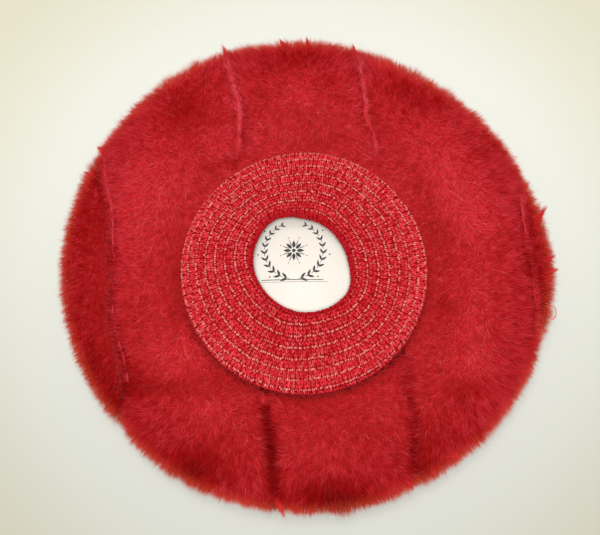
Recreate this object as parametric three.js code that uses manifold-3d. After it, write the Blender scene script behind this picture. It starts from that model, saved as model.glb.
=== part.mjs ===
// A long-pile plush tam lying upside down on its crown, in millimetres, with +Z up.
// X runs to the right and Y to the back. The hollow for the head opens upwards through a knitted ring.
import * as THREE from 'three';
import { mergeVertices, toCreasedNormals } from 'three/addons/utils/BufferGeometryUtils.js';
import Module from 'manifold-3d';

const wasm = await Module();
wasm.setup();

// Driving dimensions
const RIM_RADIUS = 164;          // pile surface at the rim, without the locks that stand out of it
const SEAT_RADIUS = 77;          // hole in the plush underside, below the knitted ring
const PLUSH_WALL = 7;            // backing and the dense foot of the pile
const CROWN_THICKNESS = 6;       // the crown's pile is pressed down by the hat's weight
const CROWN_EDGE = 0.855;        // reach at which the underside ends and the crown begins
const GAP = 0.3;                 // clearance between pieces that lie on each other
const SEAM_WIDTH = 9;
const SEAM_DEPTH = 4;
const SEAM_STEPS = 9;
const SEAM_START_ROOM = 0.3;     // the two arms of a groove meet this close to the seam's middle
const WIDEST = 0.78;             // place along the section where the rim is widest
const BAND_RADIUS = 82;
const BAND_CENTRE = { x: -2, y: -3.4 };
const BAND_THICKNESS = 3.6;
const BAND_ROWS = 7;             // raised rows of the knitting
const BAND_ROW_HEIGHT = 0.9;
const BAND_CROWNING = 0.9;       // how far the band's face bulges between its edges
const BAND_LIP = 0.16;           // share of the band's width that slopes down into the opening
const BAND_WALL = 12;            // how far the band turns down inside the opening
const SEAT_FREE = { from: 4, to: 22 };     // distances past the band over which the plush starts to sink
const SINK_HEIGHTS = { from: 12, to: 34 }; // heights over which the plush starts to sink
const OPENING_CENTRE = { x: -2.8, y: 3.4 };
const LINING_RADIUS = 104;
const LINING_RISE = 15;          // how far the lining billows up under the opening
const LINING_THICKNESS = 1.2;
const ANGLE_STEPS = 54;
const LINING_STEPS = 32;

// Rim radius by direction, as a difference from RIM_RADIUS. Angles run from +X towards +Y, in degrees.
const RIM_WAVES = [
  { angle: 0, value: 3.2 },
  { angle: 30, value: -0.8 },
  { angle: 60, value: -2.9 },
  { angle: 90, value: 0.7 },
  { angle: 120, value: 4.4 },
  { angle: 150, value: 3.2 },
  { angle: 180, value: 3.3 },
  { angle: 210, value: -0.3 },
  { angle: 240, value: -2.3 },
  { angle: 270, value: -3.2 },
  { angle: 300, value: -3.2 },
  { angle: 330, value: -0.4 },
];

// Radius of the opening in the knitted ring.
const OPENING_RADII = [
  { angle: 0, value: 31.2 },
  { angle: 30, value: 29.8 },
  { angle: 60, value: 30.7 },
  { angle: 90, value: 32.4 },
  { angle: 120, value: 36.6 },
  { angle: 150, value: 35.3 },
  { angle: 180, value: 33.7 },
  { angle: 210, value: 31.8 },
  { angle: 240, value: 31.7 },
  { angle: 270, value: 33 },
  { angle: 300, value: 34.4 },
  { angle: 330, value: 35.4 },
];

// Section of the underside from the hole outwards, over the rim and down to the crown.
// Reach is 0 at the hole and 1 at the rim.
const UNDERSIDE_SECTION = [
  { reach: 0, height: 44 },
  { reach: 0.12, height: 44.4 },
  { reach: 0.24, height: 46.8 },
  { reach: 0.44, height: 48.6 },
  { reach: 0.65, height: 46.4 },
  { reach: 0.83, height: 39.8 },
  { reach: 0.95, height: 31.3 },
  { reach: 1, height: 22 },
  { reach: 0.96, height: 12.5 },
  { reach: CROWN_EDGE, height: 5.6 },
];

// The crown's underneath beyond the flat patch that it rests on.
const CROWN_SECTION = [
  { reach: 0.5, height: 0 },
  { reach: 0.72, height: 1.5 },
];

// Straight seams of the underside. Lean is how far a seam moves left for each millimetre to the back.
const SEAMS = {
  left: { x: -132, lean: 0.105 },
  leftMiddle: { x: -39, lean: 0.119 },
  rightMiddle: { x: 54, lean: 0.119 },
  right: { x: 150, lean: 0.065 },
};

// Hollows and swells where the soft plush sinks in or stands up.
const DENTS = [
  { x: -83, y: 111, spread: 20, depth: 4 },
  { x: -107, y: -73, spread: 20, depth: 3.5 },
  { x: 70, y: 124, spread: 18, depth: 4 },
  { x: 93, y: 27, spread: 15, depth: 3 },
  { x: -80, y: -130, spread: 16, depth: 3.5 },
  { x: 73, y: -127, spread: 16, depth: 3.5 },
  { x: -101, y: 59, spread: 20, depth: -2 },
  { x: 112, y: -11, spread: 20, depth: -2 },
  { x: 8, y: -118, spread: 22, depth: -1.5 },
];

// Strips of plush between the seams. A strip interrupted by the ring is two solids.
const STRIPS = [
  { name: 'strip_left', from: null, to: SEAMS.left, side: 0 },
  { name: 'strip_left_middle', from: SEAMS.left, to: SEAMS.leftMiddle, side: 0 },
  { name: 'strip_back', from: SEAMS.leftMiddle, to: SEAMS.rightMiddle, side: 1 },
  { name: 'strip_front', from: SEAMS.leftMiddle, to: SEAMS.rightMiddle, side: -1 },
  { name: 'strip_right_middle', from: SEAMS.rightMiddle, to: SEAMS.right, side: 0 },
  { name: 'strip_right', from: SEAMS.right, to: null, side: 0 },
];

// Rows of pile locks round the underside, given along its section from 0 at the hole to 1 at the crown.
// Lift is how far a lock's tip stands off the surface.
const LOCK_ROWS = [
  { along: 0.26, count: 15, lift: 0.6 },
  { along: 0.38, count: 19, lift: 0.8 },
  { along: 0.5, count: 23, lift: 1 },
  { along: 0.62, count: 27, lift: 2.4 },
  { along: 0.75, count: 30, lift: 3.6 },
];
const CROWN_LOCKS = 30;
const CROWN_LOCK = [             // root, middle and tip
  { reach: 0.62, height: 3.4 },
  { reach: 0.78, height: 4.6 },
  { reach: 0.92, height: 3.2 },
];
const LOCK_LENGTH = 33;
const LOCK_WIDTH = 21;
const LOCK_HEIGHT = 2.2;
const LOCK_ROOT = { width: 12, height: 0.4 };
const LOCK_DEPTH = 3;            // how far a lock's underside lies in the backing
const LOCK_ALONGS = { first: 0.12, last: 0.93 };

// How the pile lies: across a strip it fans out this much, and near the rim it turns outwards.
const LAY_FAN = 1.1;
const LAY_RIM = { from: 0.7, to: 0.95, pull: 1.4 };
const STRIP_MARGIN = 20;         // the outermost strips fan as if they went on this far past the rim

const DEGREE = Math.PI / 180;
const CREASE_ANGLE = 35 * DEGREE;
const BIG = 400;                 // larger than the hat, for cutting blocks

// Materials
const plushRed = new THREE.MeshStandardMaterial({ color: 0xb6202a, roughness: 0.95, metalness: 0 });
const knitRed = new THREE.MeshStandardMaterial({ color: 0xc5343c, roughness: 0.9, metalness: 0 });
const ivoryCloth = new THREE.MeshStandardMaterial({ color: 0xf6efe0, roughness: 0.7, metalness: 0 });

// A smooth value that goes once round, from rows at even angles.
function around(rows, angle) {
  const turn = THREE.MathUtils.euclideanModulo(angle / DEGREE / rows[1].angle, rows.length);
  const i = Math.floor(turn);
  const f = turn - i;
  const [a, b, c, d] = [-1, 0, 1, 2].map((k) => rows[(i + k + rows.length) % rows.length].value);
  return b + 0.5 * f * (c - a + f * (2 * a - 5 * b + 4 * c - d + f * (3 * (b - c) + d - a)));
}

// A repeatable number from 0 to 1 for each whole number.
function scatter(n) {
  const s = Math.sin(n * 12.9898 + 4.1) * 43758.5453;
  return s - Math.floor(s);
}

function smoothStep(low, high, value) {
  return THREE.MathUtils.smoothstep(value, low, high);
}

function radiusAt(reach, angle) {
  return SEAT_RADIUS + reach * (RIM_RADIUS + around(RIM_WAVES, angle) - SEAT_RADIUS);
}

// How far the plush sinks at a place seen from above. Nothing sinks where the knitted ring is seated.
function sinkAt(x, y, height) {
  const r = Math.hypot(x, y);
  const clear = smoothStep(BAND_RADIUS + SEAT_FREE.from, BAND_RADIUS + SEAT_FREE.to, r);
  const high = smoothStep(SINK_HEIGHTS.from, SINK_HEIGHTS.to, height);
  const sum = DENTS.reduce((total, dent) => {
    const d = Math.hypot(x - dent.x, y - dent.y) / dent.spread;
    return total + dent.depth * Math.exp(-d * d / 2);
  }, 0);
  return clear * high * sum;
}

const sectionCurve = new THREE.CatmullRomCurve3(
  UNDERSIDE_SECTION.map((row) => new THREE.Vector3(row.reach, row.height / (RIM_RADIUS - SEAT_RADIUS), 0)),
);

// A point of the plush underside: along its section, round the hat, and below the pile surface.
function plushPoint(along, angle, below = 0) {
  const span = RIM_RADIUS - SEAT_RADIUS;
  const p = sectionCurve.getPointAt(along);
  const t = sectionCurve.getTangentAt(along);
  const reach = p.x + t.y * below / span;
  const height = p.y * span - t.x * below;
  const r = radiusAt(reach, angle);
  const x = r * Math.cos(angle);
  const y = r * Math.sin(angle);
  return new THREE.Vector3(x, y, height - sinkAt(x, y, height));
}

// A closed solid through rings of points. The rings close on each other, or end on two middle points.
function solidOfRings(rings, ends = null) {
  const n = rings[0].length;
  const points = rings.flat();
  const faces = [];
  const last = ends ? rings.length - 1 : rings.length;
  for (let k = 0; k < last; k += 1) {
    const next = (k + 1) % rings.length;
    for (let i = 0; i < n; i += 1) {
      const j = (i + 1) % n;
      faces.push(k * n + i, next * n + i, next * n + j);
      faces.push(k * n + i, next * n + j, k * n + j);
    }
  }
  if (ends) {
    const first = points.push(ends[0]) - 1;
    const final = points.push(ends[1]) - 1;
    for (let i = 0; i < n; i += 1) {
      const j = (i + 1) % n;
      faces.push(first, i, j);
      faces.push(final, (rings.length - 1) * n + j, (rings.length - 1) * n + i);
    }
  }
  return manifoldOf(geometryOf(points, faces));
}

function geometryOf(points, faces) {
  const geometry = new THREE.BufferGeometry();
  geometry.setAttribute('position', new THREE.Float32BufferAttribute(points.flatMap((p) => [p.x, p.y, p.z]), 3));
  geometry.setIndex(faces);
  return geometry;
}

function manifoldOf(geometry) {
  geometry.deleteAttribute('normal');
  geometry.deleteAttribute('uv');
  const merged = mergeVertices(geometry, 1e-4);
  return new wasm.Manifold(new wasm.Mesh({
    numProp: 3,
    vertProperties: new Float32Array(merged.attributes.position.array),
    triVerts: new Uint32Array(merged.index.array),
  }));
}

function meshOf(solid, name, material) {
  const { vertProperties, triVerts } = solid.getMesh();
  const geometry = new THREE.BufferGeometry();
  geometry.setAttribute('position', new THREE.BufferAttribute(new Float32Array(vertProperties), 3));
  geometry.setIndex(new THREE.BufferAttribute(new Uint32Array(triVerts), 1));
  const mesh = new THREE.Mesh(toCreasedNormals(geometry, CREASE_ANGLE), material);
  mesh.name = name;
  return mesh;
}

function ringOf(pointAt, steps = ANGLE_STEPS) {
  return Array.from({ length: steps }, (_, i) => pointAt(i / steps * 2 * Math.PI));
}

// The whole plush underside as one bent wall, before it is cut into strips.
function undersideShell() {
  const outer = [0, 0.09, 0.19, 0.3, 0.42, 0.54, 0.64, 0.73, 0.82, 0.91, 1];
  const inner = [1, 0.8, 0.6, 0.3, 0];
  const rings = outer.map((along) => ringOf((angle) => plushPoint(along, angle)));
  rings.push(...inner.map((along) => ringOf((angle) => plushPoint(along, angle, PLUSH_WALL))));
  return solidOfRings(rings);
}

function seamPlace(seam, y) {
  return seam.x - seam.lean * y;
}

// Where a seam lies at a place along the section, on the back (+1) or the front (-1).
function seamPoint(seam, along, side) {
  const tilt = Math.atan(seam.lean);
  let angle = side * Math.PI / 2;
  for (let pass = 0; pass < 6; pass += 1) {
    const p = plushPoint(along, angle);
    const share = seam.x * Math.cos(tilt) / Math.hypot(p.x, p.y);
    angle = tilt + side * Math.acos(THREE.MathUtils.clamp(share, -1, 1));
  }
  return plushPoint(along, angle);
}

// How much wider the plush is, at a place along the section, than a seam is far from the middle.
function seamRoom(seam, along) {
  const p = plushPoint(along, seam.x > 0 ? 0 : Math.PI);
  return Math.hypot(p.x, p.y) - Math.abs(seam.x) * Math.cos(Math.atan(seam.lean));
}

// The first place along the section that a seam reaches.
function seamStart(seam) {
  let [low, high] = [0, WIDEST];
  for (let pass = 0; pass < 30; pass += 1) {
    const middle = (low + high) / 2;
    if (seamRoom(seam, middle) < SEAM_START_ROOM) low = middle;
    else high = middle;
  }
  return high;
}

// The groove that a seam pulls into the pile, as a closed wedge swept along the surface.
function seamGroove(points, across) {
  const lift = 3;
  const half = SEAM_WIDTH / 2 * (1 + lift / SEAM_DEPTH);
  const sections = points.map((p, i) => {
    const before = points[Math.max(i - 1, 0)];
    const after = points[Math.min(i + 1, points.length - 1)];
    const up = across.clone().cross(after.clone().sub(before)).normalize();
    const high = p.clone().addScaledVector(up, lift);
    return [
      high.clone().addScaledVector(across, -half),
      p.clone().addScaledVector(up, -SEAM_DEPTH),
      high.clone().addScaledVector(across, half),
    ];
  });
  const faces = [0, 1, 2];
  for (let k = 0; k + 1 < sections.length; k += 1) {
    for (let i = 0; i < 3; i += 1) {
      const j = (i + 1) % 3;
      const [a, b] = [k * 3 + i, k * 3 + j];
      faces.push(a, a + 3, b + 3, a, b + 3, b);
    }
  }
  const end = (sections.length - 1) * 3;
  faces.push(end, end + 2, end + 1);
  return manifoldOf(geometryOf(sections.flat(), faces));
}

// One groove for a seam clear of the ring, or two for a seam that the ring interrupts.
function seamGrooves(seam) {
  const start = seamStart(seam);
  const end = seamRoom(seam, 1) > 0 ? 1 : WIDEST;
  const alongs = Array.from({ length: SEAM_STEPS + 1 }, (_, i) => start + (end - start) * i / SEAM_STEPS);
  const tilt = Math.atan(seam.lean);
  const across = new THREE.Vector3(Math.cos(tilt), Math.sin(tilt), 0);
  const branch = (side) => {
    const points = alongs.map((along) => seamPoint(seam, along, side));
    const beyond = (a, b) => a.clone().addScaledVector(a.clone().sub(b).normalize(), SEAM_DEPTH);
    if (end === 1) points.push(beyond(points.at(-1), points.at(-2)));
    if (start < 0.001) points.unshift(beyond(points[0], points[1]));
    return points;
  };
  if (start > 0.001) {
    return [seamGroove([...branch(-1).reverse(), ...branch(1).slice(1)], across)];
  }
  return [seamGroove(branch(-1).reverse(), across), seamGroove(branch(1), across)];
}

// A block that holds everything on one side of a seam.
function besideSeam(seam, side) {
  const block = new THREE.BoxGeometry(BIG, 2 * BIG, BIG);
  block.translate(side * (BIG / 2 + GAP / 2), 0, 0);
  block.rotateZ(Math.atan(seam.lean));
  block.translate(seam.x, 0, 0);
  return manifoldOf(block);
}

function backOrFront(side) {
  const block = new THREE.BoxGeometry(BIG, BIG, BIG);
  block.translate(0, side * BIG / 2, 0);
  return manifoldOf(block);
}

// Which way the pile lies at a place seen from above: fanned out across each strip, swept to the front,
// and turned outwards at the rim.
function layAt(x, y) {
  const r = Math.hypot(x, y);
  const outermost = RIM_RADIUS + STRIP_MARGIN;
  const edges = [-outermost, ...Object.values(SEAMS).map((seam) => seamPlace(seam, y)), outermost];
  const i = Math.max(edges.findIndex((edge) => x < edge), 1);
  const u = 2 * (x - edges[i - 1]) / (edges[i] - edges[i - 1]) - 1;
  const swept = new THREE.Vector2(LAY_FAN * u, -1).normalize();
  const outwards = smoothStep(LAY_RIM.from, LAY_RIM.to, r / RIM_RADIUS);
  const radial = new THREE.Vector2(x / r, y / r).multiplyScalar(LAY_RIM.pull * outwards);
  return swept.multiplyScalar(1 - outwards).add(radial);
}

// A lock of pile: a low three-sided horn from three rings of points, with its tip standing clear.
function lockOf(root, middle, tip, up) {
  const ahead = tip.clone().sub(root).normalize();
  const across = up.clone().cross(ahead).normalize();
  const ring = (p, half, height) => [
    p.clone().addScaledVector(across, -half).addScaledVector(up, -LOCK_DEPTH),
    p.clone().addScaledVector(across, half).addScaledVector(up, -LOCK_DEPTH),
    p.clone().addScaledVector(up, height),
  ];
  const points = [
    ...ring(root, LOCK_ROOT.width / 2, LOCK_ROOT.height),
    ...ring(middle, LOCK_WIDTH / 2, LOCK_HEIGHT),
    tip,
  ];
  const faces = [0, 2, 1];
  for (let i = 0; i < 3; i += 1) {
    const j = (i + 1) % 3;
    faces.push(i, j, 3 + j, i, 3 + j, 3 + i, 3 + i, 3 + j, 6);
  }
  return manifoldOf(geometryOf(points, faces));
}

// A lock on the underside, laid along the pile from its root.
function undersideLock(along, angle, lift) {
  const root = plushPoint(along, angle);
  const r = Math.hypot(root.x, root.y);
  const lay = layAt(root.x, root.y);
  const outwards = (lay.x * root.x + lay.y * root.y) / r;
  const sideways = (lay.y * root.x - lay.x * root.y) / r;
  const sectionLength = sectionCurve.getLength() * (RIM_RADIUS - SEAT_RADIUS);
  const pointAt = (distance, below) => plushPoint(
    THREE.MathUtils.clamp(along + outwards * distance / sectionLength, LOCK_ALONGS.first, LOCK_ALONGS.last),
    angle + sideways * distance / r,
    below,
  );
  const up = root.clone().sub(plushPoint(along, angle, 1));
  return lockOf(root, pointAt(LOCK_LENGTH / 2, 0), pointAt(LOCK_LENGTH, -lift), up.normalize());
}

// The strip that a place seen from above lies on, or none where it is too near a seam to root a lock.
function stripAt(x, y) {
  if (Object.values(SEAMS).some((seam) => Math.abs(x - seamPlace(seam, y)) < SEAM_WIDTH)) return null;
  return STRIPS.find((strip) => (strip.from === null || x > seamPlace(strip.from, y))
    && (strip.to === null || x < seamPlace(strip.to, y))
    && y * strip.side >= 0);
}

function undersideLocks(strip) {
  const locks = [];
  LOCK_ROWS.forEach((row, k) => {
    for (let i = 0; i < row.count; i += 1) {
      const shift = scatter(k * 100 + i) - 0.5;
      const angle = (i + 0.5 * (k % 2) + 0.5 * shift) / row.count * 2 * Math.PI;
      const along = row.along + 0.04 * (scatter(k * 77 + i) - 0.5);
      const root = plushPoint(along, angle);
      if (stripAt(root.x, root.y) === strip) locks.push(undersideLock(along, angle, row.lift));
    }
  });
  return locks;
}

// Plush underside, pieced from strips
function plushStrips() {
  const whole = undersideShell().subtract(wasm.Manifold.union(Object.values(SEAMS).flatMap(seamGrooves)));
  return STRIPS.map((strip) => {
    const limits = [];
    if (strip.from !== null) limits.push(besideSeam(strip.from, 1));
    if (strip.to !== null) limits.push(besideSeam(strip.to, -1));
    if (strip.side !== 0) limits.push(backOrFront(strip.side));
    const pieces = [whole, ...undersideLocks(strip)]
      .map((piece) => limits.reduce((rest, limit) => rest.intersect(limit), piece));
    return meshOf(wasm.Manifold.union(pieces), strip.name, plushRed);
  });
}

// Crown that the hat rests on, with short locks round its edge
function crown() {
  const across = (reach, angle, height) => {
    const r = radiusAt(reach, angle);
    return new THREE.Vector3(r * Math.cos(angle), r * Math.sin(angle), height);
  };
  const edge = (below) => ringOf((angle) => {
    const p = plushPoint(1, angle, below);
    const t = sectionCurve.getTangentAt(1).multiplyScalar(GAP);
    return new THREE.Vector3(p.x + t.x * Math.cos(angle), p.y + t.x * Math.sin(angle), p.z + t.y);
  });
  const under = CROWN_SECTION.map((row) => ringOf((angle) => across(row.reach, angle, row.height)));
  const upper = CROWN_SECTION.map((row) => ringOf((angle) => across(
    row.reach - CROWN_THICKNESS / 2 / (RIM_RADIUS - SEAT_RADIUS),
    angle,
    row.height + CROWN_THICKNESS,
  )));
  const middle = (height) => new THREE.Vector3(0, 0, height);
  const rings = [...upper, edge(PLUSH_WALL), edge(0), ...under.reverse()];
  const disc = solidOfRings(rings, [middle(CROWN_THICKNESS), middle(0)]);
  const locks = Array.from({ length: CROWN_LOCKS }, (_, i) => {
    const angle = (i + 0.4 * scatter(900 + i)) / CROWN_LOCKS * 2 * Math.PI;
    const up = new THREE.Vector3(0.3 * Math.cos(angle), 0.3 * Math.sin(angle), -1).normalize();
    return lockOf(...CROWN_LOCK.map((row) => across(row.reach, angle, row.height)), up);
  });
  return meshOf(wasm.Manifold.union([disc, ...locks]), 'crown', plushRed);
}

// Knitted ring with its rows as ridges, resting on the plush and turned down at the opening
function knitBand() {
  const seat = UNDERSIDE_SECTION[1].height + GAP;
  const top = seat + BAND_THICKNESS;
  const rowWidth = (1 - BAND_LIP) / BAND_ROWS;
  const place = (share, angle) => {
    const r = around(OPENING_RADII, angle);
    const opening = new THREE.Vector2(OPENING_CENTRE.x + r * Math.cos(angle), OPENING_CENTRE.y + r * Math.sin(angle));
    const edge = new THREE.Vector2(
      BAND_CENTRE.x + BAND_RADIUS * Math.cos(angle),
      BAND_CENTRE.y + BAND_RADIUS * Math.sin(angle),
    );
    return opening.lerp(edge, share);
  };
  const ring = (share, height) => ringOf((angle) => {
    const p = place(share, angle);
    return new THREE.Vector3(p.x, p.y, height);
  });
  const wall = [
    { share: 0, height: top - BAND_WALL },
    { share: 0.01, height: top - BAND_WALL / 2 },
    { share: 0.045, height: top - 2.4 },
  ];
  const rows = Array.from({ length: BAND_ROWS }, (_, row) => {
    const start = BAND_LIP + row * rowWidth;
    const face = top + BAND_CROWNING * Math.sin(Math.PI * start);
    return [
      { share: start - rowWidth / 4, height: face - BAND_ROW_HEIGHT },
      { share: start + rowWidth / 4, height: face },
    ];
  });
  const edgeAndBack = [
    { share: 0.97, height: top - 0.8 },
    { share: 1, height: top - BAND_THICKNESS / 2 },
    { share: 0.985, height: seat },
    { share: 0.24, height: seat },
    { share: 0.11, height: seat - 3 },
    { share: 0.07, height: top - BAND_WALL },
  ];
  const section = [...wall, ...rows.flat(), ...edgeAndBack];
  return meshOf(solidOfRings(section.map((row) => ring(row.share, row.height))), 'knit_band', knitRed);
}

// Pale lining, billowing up a little under the opening
function lining() {
  const shares = [0.22, 0.45, 0.7, 1];
  const heightAt = (share, angle) => {
    const folds = 0.5 * share * (1 - share) * Math.sin(5 * angle + 3 * share);
    return CROWN_THICKNESS + GAP + LINING_RISE * (0.5 + 0.5 * Math.cos(Math.PI * share)) + folds;
  };
  const ring = (share, lift) => ringOf((angle) => new THREE.Vector3(
    LINING_RADIUS * share * Math.cos(angle),
    LINING_RADIUS * share * Math.sin(angle),
    heightAt(share, angle) + lift,
  ), LINING_STEPS);
  const upper = shares.map((share) => ring(share, LINING_THICKNESS));
  const lower = shares.map((share) => ring(share, 0)).reverse();
  const middle = (lift) => new THREE.Vector3(0, 0, heightAt(0, 0) + lift);
  return meshOf(solidOfRings([...upper, ...lower], [middle(LINING_THICKNESS), middle(0)]), 'lining', ivoryCloth);
}

const hat = new THREE.Group();
hat.add(crown(), ...plushStrips(), knitBand(), lining());

export default hat;
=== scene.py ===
import math

import bpy
import numpy as np
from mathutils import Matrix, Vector


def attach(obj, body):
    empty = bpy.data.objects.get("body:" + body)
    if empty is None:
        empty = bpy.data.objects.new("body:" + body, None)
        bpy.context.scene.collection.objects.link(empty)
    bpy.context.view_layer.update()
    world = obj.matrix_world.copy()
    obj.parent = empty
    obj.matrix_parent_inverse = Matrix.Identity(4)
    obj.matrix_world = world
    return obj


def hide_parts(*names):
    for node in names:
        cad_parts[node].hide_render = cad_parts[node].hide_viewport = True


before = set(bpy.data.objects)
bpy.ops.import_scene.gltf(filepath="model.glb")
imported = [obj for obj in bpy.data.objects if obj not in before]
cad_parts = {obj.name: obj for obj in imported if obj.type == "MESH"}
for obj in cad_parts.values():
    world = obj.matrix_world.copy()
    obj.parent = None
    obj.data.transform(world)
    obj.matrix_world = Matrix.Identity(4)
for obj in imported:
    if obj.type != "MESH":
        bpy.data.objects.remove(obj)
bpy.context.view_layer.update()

scene = bpy.context.scene
rng = np.random.default_rng(20)

# Form of the hat
MM = 0.001
RIM_RADIUS = 164 * MM
SEAT_RADIUS = 77 * MM
SPAN = RIM_RADIUS - SEAT_RADIUS
PILE_DEPTH = 6.4 * MM        # from the pile's surface down to the cloth that carries it
BACKING = 1.2 * MM
CROWN_EDGE = 0.855
CROWN_THICKNESS = 6 * MM
CROWN_CLOTH = 2.4 * MM       # height of the crown's cloth above the floor
BAND_RADIUS = 82 * MM
BAND_CENTRE = np.array([-2, -3.4]) * MM
BAND_SEAT = 44.7 * MM
BAND_THICKNESS = 3.6 * MM
BAND_REACH = 50 * MM         # width at which the ring's section is drawn
OPENING_CENTRE = np.array([-2.8, 3.4]) * MM
LINING_RADIUS = 104 * MM
LINING_RISE = 15 * MM
LINING_THICKNESS = 1.2 * MM
GAP = 0.3 * MM

# Values every 30 degrees from +X towards +Y: how far the rim swells, how much longer its pile is, and the
# opening's radius
RIM_WAVES = np.array([3.2, -0.8, -2.9, 0.7, 4.4, 3.2, 3.3, -0.3, -2.3, -3.2, -3.2, -0.4]) * MM
RIM_PILE = np.array([0.18, 0.12, 0.28, 0.2, 0.22, 0.18, 0.14, 0.18, 0.28, 0.2, 0.24, 0.32])
OPENING_RADII = np.array([31.2, 29.8, 30.7, 32.4, 36.6, 35.3, 33.7, 31.8, 31.7, 33, 34.4, 35.4]) * MM

# Section of the underside from the hole over the rim to the crown: reach from hole to rim, height in mm
UNDERSIDE_SECTION = np.array([
    (0, 44), (0.12, 44.4), (0.24, 46.8), (0.44, 48.6), (0.65, 46.4),
    (0.83, 39.8), (0.95, 31.3), (1, 22), (0.96, 12.5), (CROWN_EDGE, 5.6),
])
CROWN_SECTION = np.array([(-0.9, 0), (0.2, 0), (0.5, 0), (0.72, 1.5), (CROWN_EDGE, 5.6)])
BAND_SECTION = np.array([  # share from the opening to the outer edge, height in mm from the ring's top
    (0.985, -3.6), (1, -2), (0.985, -0.6), (0.94, 0.1), (0.7, 0.8), (0.45, 0.7), (0.2, 0.1),
    (0.1, -0.9), (0.045, -2.8), (0.015, -6), (0, -12),
])
# Cloth that closes the slit under the ring's edge: reach and height in mm
ALLOWANCE_SECTION = [(77.7, 37.9), (76.7, 37.9), (76.7, 45.8), (77.7, 45.8)]

# Seams: place at the middle, and how far each moves left for each metre to the back
SEAMS = {
    "left": (-132 * MM, 0.105),
    "left_middle": (-39 * MM, 0.119),
    "right_middle": (54 * MM, 0.119),
    "right": (150 * MM, 0.065),
}
# Bends where a seam leaves its straight line: y, spread and shift to the right, in mm
SEAM_BENDS = {
    "left": [(38, 15, 4.6), (0, 14, 2.8), (-28, 9, -1.2), (-70, 12, 4)],
    "left_middle": [(110, 22, 5.8)],
    "right_middle": [(86, 9, 2.5), (107, 6, -1.5), (-90, 30, 4.4)],
    "right": [(35, 20, -1.6), (-12, 14, 2.6)],
}
SEAM_WIDTH = 3.2 * MM
SEAM_DEPTH = 3.4 * MM
# Lines of painted highlight and painted shade along a seam's ridge and grooves: seam, from y, to y, place to
# its right, half width (mm), tone
PAINTED_SEAM_LINES = [
    ("left", -106, 80, 0, 1.2, 0.9), ("left", -110, 80, -3.4, 2.6, -1.3), ("left", -90, 50, 2.4, 1.1, -0.3),
    ("left_middle", 98, 154, 0, 1.9, 0.95), ("left_middle", 76, 98, 0, 1.3, 0.35),
    ("left_middle", 84, 122, 4, 1.8, -0.5), ("left_middle", 100, 150, -3.4, 1.3, -0.45),
    ("left_middle", -98, -80, -2, 2, 0.5), ("left_middle", -165, -92, 0.2, 4.8, -1.7),
    ("left_middle", -130, -104, 4, 2.4, -0.7),
    ("right_middle", 108, 156, 0, 1.3, 0.95), ("right_middle", 80, 108, 0, 1.1, 0.35),
    ("right_middle", 104, 150, -2.8, 1.5, -0.6), ("right_middle", 88, 130, 2.6, 1.2, -0.4),
    ("right_middle", -150, -84, 0, 1.9, -2.3), ("right_middle", -128, -96, 2.4, 0.9, 0.8),
    ("right", -38, 50, 0, 1.5, 1.5), ("right", -40, 46, -3, 1.3, -0.8), ("right", -40, 46, 3.6, 1.8, -0.7),
]

# Hollows and swells of the plush: place, spread and depth in mm
DENTS = np.array([
    (-83, 111, 20, 4), (-107, -73, 20, 3.5), (70, 124, 18, 4), (93, 27, 15, 3), (-80, -130, 16, 3.5),
    (73, -127, 16, 3.5), (-101, 59, 20, -2), (112, -11, 20, -2), (8, -118, 22, -1.5),
])
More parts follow.
